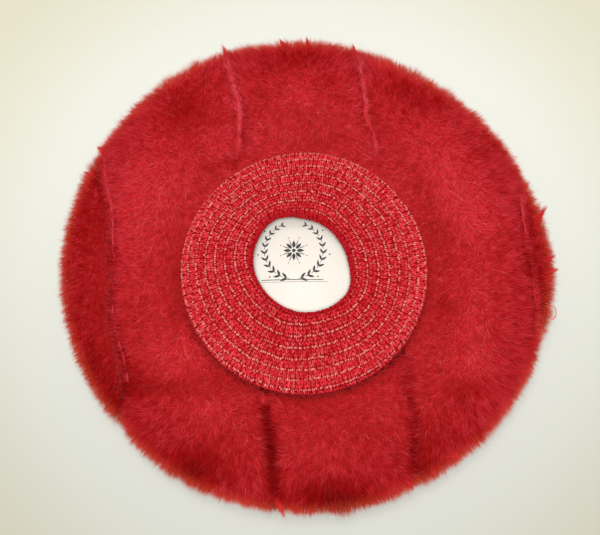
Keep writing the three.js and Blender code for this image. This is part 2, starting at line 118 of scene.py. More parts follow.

# Patches of painted sheen and painted shade where the nap lies smooth and bright or stands up dark: place and
# spread each way (mm), tone
NAP_SHEEN_AND_SHADE = np.array([
    # back left
    (-83, 112, 11, 11.5, -0.75), (-67, 133, 8, 5, -0.2), (-105, 56, 17, 21, 0.5), (-63, 87, 10, 6, 0.35),
    (-66, 72, 6, 4, -0.25), (-110, 90, 16, 10, -0.05), (-136, 75, 5, 4, -0.3),
    # back
    (-5, 149, 15, 5, -0.6), (-32, 143, 6, 6, -0.15), (-30, 126, 4, 7, -0.25), (-5, 121, 6, 6, 0.5),
    (-18, 98, 8, 8, 0.2), (-35, 108, 5, 8, -0.2), (-3, 109, 12, 3.5, -0.15), (12, 128, 4, 4, -0.35),
    (11, 88, 9, 4, -0.2), (34, 134, 3, 4, -0.3), (43, 105, 4.5, 6, -0.5), (48, 86, 3, 6, -0.3),
    (-46, 93, 4, 5, -0.35), (-46, 76, 6, 4, -0.35), (45, 73, 7, 3, -0.3), (16, 107, 8, 6, 0.1),
    # back right
    (68, 126, 13, 8, -0.5), (85, 116, 8, 7, -0.4), (84, 98, 8, 7, 0.4), (91, 72, 12, 14, 0.5),
    (107, 43, 13, 14, 0.5), (106, 24, 9, 10, 0.2), (124, 85, 10, 8, -0.25), (75, 63, 6, 6, -0.3),
    (82, 47, 4, 9, -0.35), (89, 26, 8, 8, -0.6), (87, 3, 7, 10, -0.25), (129, 17, 7, 4, -0.3),
    (147, 3, 4, 5, -0.5),
    # front right
    (107, -9, 9, 12, 0.2), (111, -35, 9, 10, 0.2), (94, -25, 7, 6, -0.5), (124, -26, 2.5, 13, -0.2),
    (109, -62, 9, 8, 0.35), (118, -92, 8, 8, 0.2), (102, -89, 7, 4, -0.3), (82, -104, 12, 10, -0.3),
    (104, -79, 9, 5, -0.5), (138, -22, 7, 10, -0.15),
    (75, -125, 8, 9, -0.7), (72, -141, 6, 6, -0.4), (120, -110, 12, 10, -0.2), (66, -76, 5, 8, -0.25),
    # front
    (20, -151, 16, 7, -1.6), (36, -111, 8, 7, -0.25), (-41, -156, 10, 5, -0.3),
    # front left
    (-75, -131, 14, 8, -1.15), (-102, -111, 10, 10, -0.2), (-52, -115, 12, 10, -0.2), (-63, -94, 8, 6, 0.35),
    (-59, -76, 9, 4, -0.2), (-83, -56, 14, 12, 0.35), (-93, -80, 14, 4, -0.65), (-112, -76, 9, 8, -0.6),
    (-114, -39, 6, 14, -0.22), (-91, -30, 5, 3, -0.25), (-88, 0, 3.5, 20, -0.5), (-129, 0, 3, 5, 0.3),
    (-128, 10, 3, 6, -0.4), (-129, -74, 8, 9, -0.5), (-143, -60, 6, 7, -0.5),
    (-143, 28, 6, 13, -0.25), (-137, -28, 6, 10, -0.25),
])
# Painted shade: the outer strips and the front of the pile are darker
SIDE_STRIPS_PAINTED_SHADE = -0.38
FRONT_PAINTED_SHADE = -0.16

# Layers of the pile: strands for each square millimetre of cloth, bends, lengths and widths in mm, how far
# they stand up at root and tip in radians, and the share of pale ones
# The pale ones' paleness is partly painted sheen
LAYERS = {
    "": (1.30, 0, (5.6, 7.4), (0.32, 0.48), (1.16, 1.16), 0),
    "_fine": (0.42, 0, (6.8, 9), (0.2, 0.28), (0.8, 0.8), 0.5),
    "_long": (0.04, 1, (8.5, 11), (0.24, 0.34), (1.0, 0.35), 0.2),
}
LOCK_SIZE = 1.15 * MM
TUFT_SIZE = 2.2 * MM
TUFT_REACH = 8 * MM          # length of pile over which a strand is drawn to its tuft's middle
RING_PAINTED_SHADOW = 3.2             # painted shadow: how dark the pile is by the ring's front edge, and how far from it
RING_SHADOW_REACH = 3 * MM
STRAY_HAIRS = 1100
TUFT_FIBRES = 36


def circle(n):
    return np.linspace(0, 2 * np.pi, n, endpoint=False)


def ease(low, high, value):
    t = np.clip((value - low) / (high - low), 0, 1)
    return t * t * (3 - 2 * t)


def spline(a, b, c, d, f):
    """A smooth way from b to c, for values that come from a and go on to d."""
    return b + 0.5 * f * (c - a + f * (2 * a - 5 * b + 4 * c - d + f * (3 * (b - c) + d - a)))


def around(values, angle):
    """A smooth value that goes once round."""
    n = len(values)
    turn = np.mod(angle / (2 * np.pi), 1) * n
    i = np.floor(turn).astype(int)
    return spline(*(values[(i + k) % n] for k in (-1, 0, 1, 2)), turn - i)


class Section:
    """A smooth line through rows of reach and height, read by its share of length."""

    def __init__(self, rows, reach_scale):
        points = np.column_stack([rows[:, 0] * reach_scale, rows[:, 1] * MM])
        ends = np.vstack([2 * points[0] - points[1], points, 2 * points[-1] - points[-2]])
        f = np.linspace(0, 1, 24, endpoint=False)[:, None]
        line = [spline(*four, f) for four in zip(ends, ends[1:], ends[2:], ends[3:])]
        self.line = np.vstack([*line, points[-1:]])
        steps = np.linalg.norm(np.diff(self.line, axis=0), axis=1)
        self.length = steps.sum()
        self.share = np.concatenate([[0], np.cumsum(steps)]) / self.length
        self.tangent = np.gradient(self.line, axis=0)
        self.tangent /= np.linalg.norm(self.tangent, axis=1)[:, None]

    def at(self, along):
        return tuple(np.interp(along, self.share, column) for column in (*self.line.T, *self.tangent.T))


underside = Section(UNDERSIDE_SECTION, SPAN)
crown_section = Section(CROWN_SECTION, SPAN)
band_section = Section(BAND_SECTION, BAND_REACH)


def seam_place(name, y):
    middle, lean = SEAMS[name]
    bends = sum(
        shift * MM * np.exp(-((y / MM - at) / spread) ** 2 / 2)
        for at, spread, shift in SEAM_BENDS[name]
    )
    return middle - lean * y + bends


def seam_distance(x, y):
    """How far each place lies from its nearest seam."""
    return np.min([np.abs(x - seam_place(name, y)) for name in SEAMS], axis=0)


def sink(x, y, height):
    """How far the plush sinks at a place seen from above."""
    free = ease(BAND_RADIUS + 4 * MM, BAND_RADIUS + 22 * MM, np.hypot(x, y)) * ease(12 * MM, 34 * MM, height)
    total = np.zeros_like(x)
    for dent_x, dent_y, spread, depth in DENTS * MM:
        total += depth * np.exp(-((x - dent_x) ** 2 + (y - dent_y) ** 2) / (2 * spread ** 2))
    return free * total


def plush_point(angle, along, below, section=underside, grooved=True):
    """Points of the plush: round the hat, along its section, below the pile's surface."""
    reach, height, t_reach, t_height = section.at(along)
    stretch = 1 + around(RIM_WAVES, angle) / SPAN

    def place(depth):
        r = SEAT_RADIUS + (reach + t_height * depth) * stretch
        return r * np.cos(angle), r * np.sin(angle), height - t_reach * depth

    x, y, z = place(below)
    if grooved:
        deeper = 0.55 + 0.45 * ease(40 * MM, -60 * MM, y)
        groove = SEAM_DEPTH * deeper * np.exp(-(seam_distance(x, y) / SEAM_WIDTH) ** 2)
        clear = ease(SEAT_RADIUS + 4 * MM, SEAT_RADIUS + 14 * MM, np.hypot(x, y))
        x, y, z = place(below + groove * clear)
    return np.stack([x, y, z - sink(x, y, z)], axis=-1)


def unit(v):
    return v / np.maximum(np.linalg.norm(v, axis=-1, keepdims=True), 1e-12)


def plush_frame(angle, along, below, section=underside, grooved=True):
    """Points with their outward normal and their directions along the section and round the hat."""
    step = 1e-3
    rest = (below, section, grooved)
    p = plush_point(angle, along, *rest)
    ahead = unit(plush_point(angle, np.minimum(along + step, 1), *rest)
                 - plush_point(angle, np.maximum(along - step, 0), *rest))
    sideways = unit(plush_point(angle + step, along, *rest) - plush_point(angle - step, along, *rest))
    return p, unit(np.cross(ahead, sideways)), ahead, sideways


def waves(x, y, size, seed):
    """Smooth noise, mostly from -1 to 1, with hills about size across."""
    own = np.random.default_rng(seed)
    total = np.zeros_like(x)
    for _ in range(5):
        way = own.uniform(0, 2 * np.pi)
        pitch = 2 * np.pi / (size * own.uniform(0.8, 1.6))
        total += np.sin((x * np.cos(way) + y * np.sin(way)) * pitch + own.uniform(0, 2 * np.pi))
    return total / 3


def lay(x, y, along):
    """Which way the pile lies from above: fanned over its strip, swept to the front, outwards at the rim."""
    places = [seam_place(name, y) for name in SEAMS]
    edges = np.array([np.full_like(x, -RIM_RADIUS - 20 * MM), *places, np.full_like(x, RIM_RADIUS + 20 * MM)])
    i = np.clip((x >= edges).sum(axis=0), 1, len(places) + 1)
    low, high = np.take_along_axis(edges, np.stack([i - 1, i]), axis=0)
    u = 2 * (x - low) / (high - low) - 1
    swept = np.stack([1.3 * u + 2.2 * u ** 3, -np.ones_like(x)], axis=-1)
    r = np.hypot(x, y)
    outwards = (ease(0.66, 0.86, along) * (0.3 + 0.7 * ease(0.6, -0.5, y / r)))[:, None]
    return unit(swept) * (1 - outwards) + np.stack([x / r, y / r], axis=-1) * 1.4 * outwards


def tufted(a, b, pull, size, seed):
    """Shifts that draw points of a plane towards the middles of scattered tufts."""
    own = np.random.default_rng(seed)
    shift = own.uniform(-0.4, 0.4, (2, 64, 64))
    i = np.floor(a / size).astype(int)
    j = np.floor(b / size).astype(int)
    centre_a = (i + 0.5 + shift[0][i % 64, j % 64]) * size
    centre_b = (j + 0.5 + shift[1][i % 64, j % 64]) * size
    return (centre_a - a) * pull, (centre_b - b) * pull


def locks(x, y, size, seed):
    """Two random values for each place, shared by the strands of one lock."""
    table = np.random.default_rng(seed).normal(0, 1, (2, 256, 256))
    shift_x, shift_y = (0.4 * size * waves(x, y, 3 * size, seed + k) for k in (1, 2))
    x, y = x + shift_x, y + shift_y
    i = np.floor((0.8 * x - 0.6 * y) / size).astype(int) % 256
    j = np.floor((0.6 * x + 0.8 * y) / size).astype(int) % 256
    return table[:, i, j]


def strand_mesh(root, rise, run, length, width, bends, start_lift, end_lift, facing=None):
    """Tapered closed strands with three sides, lit as if they faced a given way.

    bends is how many rings follow the root before the tip.
    """
    facing = rise if facing is None else facing
    n = len(root)
    steps = np.linspace(0, 1, bends + 2)
    lifts = start_lift[:, None] + (end_lift - start_lift)[:, None] * steps
    middle_lifts = (lifts[:, 1:] + lifts[:, :-1]) / 2
    moves = rise[:, None] * np.sin(middle_lifts)[..., None] + run[:, None] * np.cos(middle_lifts)[..., None]
    moves *= (length[:, None] * np.diff(steps))[..., None]
    spine = np.concatenate([root[:, None], root[:, None] + np.cumsum(moves, axis=1)], axis=1)
    turn = rng.uniform(0, 2 * np.pi, n)
    side = unit(np.cross(run, rise))
    other = unit(np.cross(side, unit(moves[:, 0])))
    corners = []
    for k in range(3):
        way = turn + k * 2 * np.pi / 3
        corners.append(side * np.cos(way)[:, None] + other * np.sin(way)[:, None])
    corners = np.stack(corners, axis=1)
    taper = np.linspace(1, 0.72, bends + 1)
    rings = spine[:, :-1, None] + corners[:, None] * (width[:, None] * taper / 2)[:, :, None, None]
    points = np.concatenate([rings.reshape(n, -1, 3), spine[:, -1:]], axis=1)
    ring_normals = unit(corners * 0.5 + facing[:, None])
    tip_normals = unit(facing + 0.35 * unit(moves[:, -1]))
    normals = np.concatenate([np.tile(ring_normals, (1, bends + 1, 1)), tip_normals[:, None]], axis=1)
    last = 3 * bends
    faces = [(0, 1, 2), *[(last + (k + 1) % 3, last + k, last + 3) for k in range(3)]]
    for ring in range(bends):
        for k in range(3):
            a, b = 3 * ring + k, 3 * ring + (k + 1) % 3
            faces += [(b, a, b + 3), (b + 3, a, a + 3)]
    faces = np.array(faces)[None] + (np.arange(n) * points.shape[1])[:, None, None]
    along = np.append(np.repeat(steps[:-1], 3), 1)
    flat = [rows.reshape(-1, 3) for rows in (points, faces, normals)]
    return *flat, np.tile(along, n), points.shape[1]


def with_looks(strands, *looks):
    """Strands with values of their own, such as tone and paleness, on all their points."""
    points, faces, normals, share, points_each = strands
    return points, faces, normals, share, *[np.repeat(value, points_each) for value in looks]


def pale(n, share, low, high):
    """How pale each of n fibres is: from low to high for a share of them, and not at all for the others."""
    return np.where(rng.uniform(0, 1, n) < share, rng.uniform(low, high, n), 0)


def between(limits, n):
    """Random sizes for n fibres between two limits in mm."""
    return rng.uniform(limits[0] * MM, limits[1] * MM, n)


def out_and_round(way, x, y):
    """Directions seen from above, as how far they go outwards and how far round the hat."""
    r = np.hypot(x, y)
    return (way[:, 0] * x + way[:, 1] * y) / r, (way[:, 1] * x - way[:, 0] * y) / r


def lifted(facing, share):
    """Directions turned upwards, for fibres of the rim that light passes through."""
    return unit(facing + np.array([0, 0, 1.3]) * share[:, None])


def joined(parts):
    """One set of points, faces and point values from several."""
    points, faces, values, first = [], [], [], 0
    for part_points, part_faces, *part_values in parts:
        points.append(part_points)
        faces.append(part_faces + first)
        values.append(part_values)
        first += len(part_points)
    return np.vstack(points), np.vstack(faces), *[np.concatenate(column) for column in zip(*values)]


def make_piece(name, points, faces, material, slot, values=None, replaces=(), smooth=True, normals=None):
    """A mesh piece riding on the hat, with named values on its points."""
    mesh = bpy.data.meshes.new(name)
    mesh.vertices.add(len(points))
    mesh.vertices.foreach_set("co", np.ascontiguousarray(points, dtype=np.float32).ravel())
    mesh.loops.add(faces.size)
    mesh.loops.foreach_set("vertex_index", np.ascontiguousarray(faces, dtype=np.int32).ravel())
    mesh.polygons.add(len(faces))
    mesh.polygons.foreach_set("loop_start", np.arange(0, faces.size, 3, dtype=np.int32))
    mesh.polygons.foreach_set("use_smooth", np.full(len(faces), smooth))
    for label, value in (values or {}).items():
        column = mesh.attributes.new(label, "FLOAT", "POINT")
        column.data.foreach_set("value", np.asarray(value, dtype=np.float32))
    if normals is not None:
        column = mesh.attributes.new("custom_normal", "FLOAT_VECTOR", "POINT")
        column.data.foreach_set("vector", np.asarray(normals, dtype=np.float32).ravel())
    mesh.update(calc_edges=True)
    mesh.materials.append(material)
    piece = bpy.data.objects.new(name, mesh)
    scene.collection.objects.link(piece)
    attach(piece, "root")
    if replaces:
        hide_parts(*replaces)
    return piece


def closed_rings(rings, ends=False):
    """Points and faces of a closed skin over rings of as many points each."""
    count, n, _ = rings.shape
    i = np.arange(n)
    j = (i + 1) % n
    faces = []
    for k in range(count - 1 if ends else count):
        a, b = k * n, (k + 1) % count * n
        faces += [np.stack([a + i, b + i, b + j], axis=1), np.stack([a + i, b + j, a + j], axis=1)]
    points = rings.reshape(-1, 3)
    if ends:
        first, last = len(points), len(points) + 1
        faces.append(np.stack([np.full(n, first), i, j], axis=1))
        faces.append(np.stack([np.full(n, last), (count - 1) * n + j, (count - 1) * n + i], axis=1))
        points = np.vstack([points, rings[0].mean(axis=0), rings[-1].mean(axis=0)])
    return points, np.vstack(faces)


# Materials


def new_material(name, roughness, sheen=0.0, specular=0.3):
    material = bpy.data.materials.new(name)
    material.use_nodes = True
    shader = material.node_tree.nodes["Principled BSDF"]
    shader.inputs["Roughness"].default_value = roughness
    shader.inputs["Specular IOR Level"].default_value = specular
    shader.inputs["Sheen Weight"].default_value = sheen
    shader.inputs["Sheen Roughness"].default_value = 0.4
    return material, material.node_tree, shader


def value_node(tree, label):
    node = tree.nodes.new("ShaderNodeAttribute")
    node.attribute_name = label
    return node.outputs["Fac"]


def mixed(tree, factor, first, second, blend="MIX"):
    node = tree.nodes.new("ShaderNodeMix")
    node.data_type = "RGBA"
    node.blend_type = blend
    for socket, source in ((node.inputs[0], factor), (node.inputs[6], first), (node.inputs[7], second)):
        if isinstance(source, bpy.types.NodeSocket):
            tree.links.new(source, socket)
        else:
            socket.default_value = source if isinstance(source, (int, float)) else (*source, 1)
    return node.outputs[2]


def ramp(tree, value, limits, first, second):
    """A colour that changes from first to second as a value goes from one limit to the other."""
    node = tree.nodes.new("ShaderNodeMapRange")
    node.interpolation_type = "SMOOTHSTEP"
    node.inputs["From Min"].default_value, node.inputs["From Max"].default_value = limits
    tree.links.new(value, node.inputs["Value"])
    return mixed(tree, node.outputs["Result"], first, second)


def place_node(tree):
    return tree.nodes.new("ShaderNodeTexCoord").outputs["Object"]


def noise_node(tree, scale):
    node = tree.nodes.new("ShaderNodeTexNoise")
    node.inputs["Scale"].default_value = scale
    node.inputs["Detail"].default_value = 3
    tree.links.new(place_node(tree), node.inputs["Vector"])
    return node.outputs["Fac"]


def bump(tree, shader, height, strength, distance):
    node = tree.nodes.new("ShaderNodeBump")
    node.inputs["Strength"].default_value = strength
    node.inputs["Distance"].default_value = distance
    tree.links.new(height, node.inputs["Height"])
    tree.links.new(node.outputs["Normal"], shader.inputs["Normal"])


def plush_material():
    """Red fibres, deep at the root and light at the tip, each a little different; the deep roots are painted
    shade within the pile, and the strands' values add painted sheen, shade, shadow and glow.
    """
    material, tree, shader = new_material("plush", 0.65, specular=0.04)
    along = value_node(tree, "along")
    # Painted shade: each fibre darkens towards its root, as in the shade within the pile
    deep = mixed(tree, along, (0.27, 0.0015, 0.0015), (0.58, 0.004, 0.004))
    bright = mixed(tree, along, (0.64, 0.018, 0.026), (0.91, 0.054, 0.077))
    # The tone mixes painted shade and painted sheen with the fibres' own random tone
    fibre = mixed(tree, value_node(tree, "tone"), deep, bright)
    # Painted shadow: near black where the dark value is set
    fibre = mixed(tree, value_node(tree, "dark"), fibre, (0.08, 0.0004, 0.0004))
    # Pale fibres, partly painted sheen: their paleness follows the tone's painted light
    light = mixed(tree, value_node(tree, "light"), fibre, (1.0, 0.20, 0.26))
    # Painted glow: orange tips at the rim, as if light shone through them
    painted_glow = mixed(tree, value_node(tree, "painted_glow"), light, (1.0, 0.13, 0.055))
    tree.links.new(painted_glow, shader.inputs["Base Color"])
    return material


def backing_material():
    material, tree, shader = new_material("plush_backing", 0.8)
    cloth = mixed(tree, noise_node(tree, 260), (0.30, 0.002, 0.003), (0.42, 0.004, 0.006))
    tree.links.new(cloth, shader.inputs["Base Color"])
    bump(tree, shader, noise_node(tree, 900), 0.5, 0.0004)
    return material


def knit_material(name, dark, bright):
    """Yarn with a pale strand showing in places."""
    material, tree, shader = new_material(name, 0.6, specular=0.04)
    yarn = mixed(tree, value_node(tree, "tone"), dark, bright)
    flecked = mixed(tree, value_node(tree, "light"), yarn, (1.0, 0.37, 0.34))
    fibre = mixed(tree, noise_node(tree, 1800), (0.85, 0.85, 0.85), (1, 1, 1))
    tree.links.new(mixed(tree, 1.0, flecked, fibre, "MULTIPLY"), shader.inputs["Base Color"])
    bump(tree, shader, noise_node(tree, 2600), 0.6, 0.0002)
    return material


def lining_material():
    material, tree, shader = new_material("lining", 0.5, 0.1)
    cloth = mixed(tree, noise_node(tree, 38), (0.96, 0.93, 0.86), (0.93, 0.87, 0.80))
    tree.links.new(cloth, shader.inputs["Base Color"])
    weave = tree.nodes.new("ShaderNodeTexWave")
    weave.inputs["Scale"].default_value = 900
    tree.links.new(place_node(tree), weave.inputs["Vector"])
    bump(tree, shader, weave.outputs["Fac"], 0.15, 0.0001)
    return material


def ink_material():
    material, tree, shader = new_material("ink", 0.7)
    ink = mixed(tree, noise_node(tree, 420), (0.012, 0.013, 0.016), (0.10, 0.105, 0.11))
    tree.links.new(ink, shader.inputs["Base Color"])
    return material


def floor_material():
    """Pale paper with painted light falloff, darker and yellower away from the hat, and painted shade that
    makes it greyer towards the front.
    """
    material, tree, shader = new_material("floor", 0.9)
    place = place_node(tree)
    distance = tree.nodes.new("ShaderNodeVectorMath")
    distance.operation = "LENGTH"
    tree.links.new(place, distance.inputs[0])
    # Painted light falloff away from the hat, and painted shade towards the front
    painted_falloff = ramp(tree, distance.outputs["Value"], (0.16, 0.29), (0.88, 0.90, 0.845), (0.785, 0.75, 0.605))
    parts = tree.nodes.new("ShaderNodeSeparateXYZ")
    tree.links.new(place, parts.inputs[0])
    painted_front_shade = ramp(tree, parts.outputs["Y"], (-0.20, 0.16), (0.785, 0.788, 0.80), (1, 1, 1))
    paper = mixed(tree, noise_node(tree, 5), (0.985, 0.985, 0.985), (1, 1, 1))
    shade = mixed(tree, 1.0, painted_falloff, painted_front_shade, "MULTIPLY")
    tree.links.new(mixed(tree, 1.0, shade, paper, "MULTIPLY"), shader.inputs["Base Color"])
    return material


plush = plush_material()
knit = knit_material("knit", (0.56, 0.008, 0.014), (0.97, 0.047, 0.072))
# Painted shade: the fabric behind the stitches is darker red, as the shade between them
knit_gap_shade = knit_material("knit_gap_shade", (0.32, 0.003, 0.006), (0.40, 0.004, 0.008))


# Cloth that carries the pile

ROUND = circle(180)


def cloth_rings(section, alongs, below, grooved):
    return np.stack([
        plush_point(ROUND, np.full_like(ROUND, along), below, section, grooved) for along in alongs
    ])


backing = backing_material()
outer = cloth_rings(underside, np.linspace(0, 1, 36), PILE_DEPTH, True)
inner = cloth_rings(underside, np.linspace(1, 0, 10), PILE_DEPTH + 2 * BACKING, False)
make_piece("underside_backing", *closed_rings(np.concatenate([outer, inner])), backing, "plush")
allowance = np.stack([
    np.stack([r * MM * np.cos(ROUND), r * MM * np.sin(ROUND), np.full_like(ROUND, z * MM)], axis=-1)
    for r, z in ALLOWANCE_SECTION
])
make_piece("seam_allowance", *closed_rings(allowance), backing, "plush")
under = cloth_rings(crown_section, np.linspace(1, 0.02, 10), 0, False)
under[..., 2] = np.maximum(under[..., 2], 0) + CROWN_CLOTH
upper = under[::-1].copy()
upper[..., 2] += BACKING
make_piece("crown_backing", *closed_rings(np.concatenate([upper, under]), ends=True), backing, "plush",
           replaces=["crown"])


# Pile of the underside, strip by strip


def strip_names(x, y):
    """Which strip each place lies on."""
    left, left_middle, right_middle, right = (x > seam_place(name, y) for name in SEAMS)
    middle = np.where(y > 0, "strip_back", "strip_front")
    return np.select(
        [right, right_middle, left_middle, left],
        ["strip_right", "strip_right_middle", middle, "strip_left_middle"],
        "strip_left",
    )


def scattered(section, density, low=0.0, high=1.0):
    """Random places on a section, as angles and shares of its length: even, but fewer under the rim."""
    alongs = np.linspace(low, high, 400)
    r = (SEAT_RADIUS + section.at(alongs)[0]) * (1 - 0.35 * ease(0.8, 0.88, alongs) * (section is underside))
    weight = np.cumsum(r)
    area = 2 * np.pi * r.mean() * section.length * (high - low)
    n = int(density * area / MM ** 2)
    along = np.interp(rng.uniform(0, 1, n), weight / weight[-1], alongs)
    return rng.uniform(0, 2 * np.pi, n), along


def nap_tone(x, y):
    """Painted sheen and painted shade of the nap at a place seen from above, with painted shade on the outer
    strips and towards the front.
    """
    x, y = x / MM, y / MM
    total = np.zeros_like(x)
    for place_x, place_y, spread_x, spread_y, tone in NAP_SHEEN_AND_SHADE:
        total += tone * np.exp(-(((x - place_x) / spread_x) ** 2 + ((y - place_y) / spread_y) ** 2) / 2)
    left = ease(1, -3, x - seam_place("left", y * MM) / MM)
    right = ease(-1, 3, x - seam_place("right", y * MM) / MM)
    return total + SIDE_STRIPS_PAINTED_SHADE * (left + right) + FRONT_PAINTED_SHADE * ease(0, -150, y)


def seam_tone(x, y):
    """Painted highlight and painted shade of the pile along the seams."""
    total = np.zeros_like(x)
    for name, low, high, offset, half_width, tone in PAINTED_SEAM_LINES:
        across = ((x - seam_place(name, y)) / MM - offset) / half_width
        reach = ease(low - 3, low + 3, y / MM) * ease(high + 3, high - 3, y / MM)
        total += tone * reach * np.exp(-across ** 2)
    return total


def underside_pile(density, bends, lengths, widths, lifts, light_share):
    """Strands of the underside, strip by strip."""
    angle, along = scattered(underside, density)
    at_rim = ease(0.62, 0.8, along) * ease(0.98, 0.86, along)
    root, rise, ahead, sideways = plush_frame(angle, along, PILE_DEPTH - 1.2 * MM * at_rim)
    x, y = root[:, 0], root[:, 1]
    n = len(x)
    way = lay(x, y, along)
    lock_turn, lock_tone = locks(x, y, LOCK_SIZE, 41)
    turn = 0.35 * waves(x, y, 26 * MM, 3) + 0.4 * waves(x, y, 7 * MM, 4)
    turn += 0.3 * lock_turn + rng.normal(0, 0.5, n)
    a, b = way.T
    c, s = np.cos(turn), np.sin(turn)
    way = np.stack([a * c - b * s, a * s + b * c], axis=-1)
    outwards, round_about = out_and_round(way, x, y)
    pull_a, pull_b = tufted(angle * RIM_RADIUS, along * underside.length, 0.35 + 0.25 * at_rim, TUFT_SIZE, 8)
    outwards += pull_b / TUFT_REACH
    round_about += pull_a / TUFT_REACH
    run = unit(ahead * outwards[:, None] + sideways * round_about[:, None])
    from_band = np.hypot(x - BAND_CENTRE[0], y - BAND_CENTRE[1]) - BAND_RADIUS
    beside_band = ease(6 * MM, 1 * MM, from_band)
    run = unit(run + ahead * 0.9 * beside_band[:, None])
    # Painted sheen and painted shade of the nap, with random mottling
    nap_shading = nap_tone(x, y) + 0.16 * waves(x, y, 11 * MM, 21) + 0.2 * waves(x, y, 4.5 * MM, 22)
    seam = np.exp(-(seam_distance(x, y) / (4.5 * MM)) ** 2)
    upright = -0.3 * nap_shading + 0.2 * seam + 0.3 * beside_band + rng.normal(0, 0.16, n)
    start = np.clip(lifts[0] + upright - 0.25 * at_rim, 0.25, 1.45)
    end = np.clip(lifts[1] + upright - 0.25 * at_rim, -0.1, 1.3)
    length = between(lengths, n) * (1 + 0.08 * waves(x, y, 14 * MM, 5))
    length *= 1 + at_rim * (0.13 + 0.1 * lock_tone + around(RIM_PILE, angle))
    under_band = ease(0.5 * MM, -0.5 * MM, from_band)
    length -= under_band * np.maximum(length * np.sin(start) - (BAND_SEAT + 0.4 * MM - root[:, 2]), 0)
    width = between(widths, n)
    # Painted shadow on the pile beside the ring's front edge
    beyond_ring = np.maximum(from_band, 0) / RING_SHADOW_REACH
    ring_shadow = RING_PAINTED_SHADOW * np.exp(-beyond_ring ** 2) * ease(50 * MM, -80 * MM, y)
    tone = 0.55 + nap_shading + seam_tone(x, y) - ring_shadow + 0.22 * lock_tone + rng.normal(0, 0.18, n)
    facing = lifted(rise, ease(0.55, 0.8, along))
    # Painted glow: orange tips on the rim's fibres, as if light shone through them
    painted_glow = ease(0.715, 0.79, along) * ease(0.9, 0.84, along) * rng.uniform(0.4, 1, n)
    # Painted sheen: pale fibres are paler where the tone's painted light is brighter
    light = pale(n, light_share, 0.1, 0.8) * np.clip(tone, 0.25, 1)
    keep = from_band > -6 * MM
    names = strip_names(x, y)
    strips = {}
    for name in np.unique(names[keep]):
        mine = keep & (names == name)
        strands = strand_mesh(root[mine], rise[mine], run[mine], length[mine], width[mine], bends,
                              start[mine], end[mine], facing[mine])
        strips[str(name)] = with_looks(strands, tone[mine], light[mine], painted_glow[mine])
    return strips


def make_pile(name, parts, replaces=()):
    points, faces, normals, share, tone, light, painted_glow = joined(parts)
    # Painted shade and shadow: where the tone falls below 0 the strand takes its root colour, and below -1
    # the dark value paints near-black shadow
    looks = {"along": share * np.clip(1 + tone, 0, 1), "tone": np.clip(tone, 0, 1), "light": light,
             "dark": 0.9 * np.clip(-1 - tone, 0, 1), "painted_glow": painted_glow * share ** 3}
    make_piece(name, points, faces, plush, "plush", looks, replaces=replaces, normals=normals)


for layer, settings in LAYERS.items():
    for strip, strands in underside_pile(*settings).items():
        make_pile(strip.replace("strip", "pile") + layer, [strands], replaces=[strip])


# Pile of the crown, pressed flat where the hat rests


def crown_pile(density, bends, lengths, low, high, start_lift, end_lift):
    angle, along = scattered(crown_section, density, low, high)
    n = len(angle)
    root, rise, ahead, sideways = plush_frame(angle, along, np.zeros(n), crown_section, False)
    root[:, 2] += CROWN_CLOTH
    rise = -rise
    turn = rng.normal(0, 0.5, n)
    run = unit(ahead * np.cos(turn)[:, None] + sideways * np.sin(turn)[:, None])
    raised = 0.5 * ease(0.75, 0.97, along)
    length = between(lengths, n)
    width = between((0.45, 0.65), n)
    strands = strand_mesh(root, rise, run, length, width, bends, start_lift + raised, end_lift + raised)
    points = strands[0]
    points[:, 2] = np.maximum(points[:, 2], 0.05 * MM)
    return with_looks(strands, np.clip(0.5 + rng.normal(0, 0.2, n), 0, 1), np.zeros(n), np.zeros(n))


pressed = crown_pile(0.13, 0, (9, 13), 0.12, 0.8, 0.12, 0.12)
fringe = crown_pile(0.17, 1, (9, 12), 0.78, 1.0, 0.5, 0.1)
make_pile("pile_crown", [pressed, fringe], replaces=["crown"])


# Ridge of pile caught along each seam, and the tufts where seams meet the outline


def seam_points(name, along, side):
    """Angles at which a seam crosses places along the section, on the back or the front."""
    tilt = math.atan(SEAMS[name][1])
    angle = np.full_like(along, np.pi / 2) * side
    for _ in range(8):
        p = plush_point(angle, along, np.zeros_like(along), grooved=False)
        at_zero = seam_place(name, p[:, 1]) + SEAMS[name][1] * p[:, 1]
        share = at_zero * math.cos(tilt) / np.hypot(p[:, 0], p[:, 1])
        angle = tilt + side * np.arccos(np.clip(share, -1, 1))
    return angle, np.abs(share) < 1


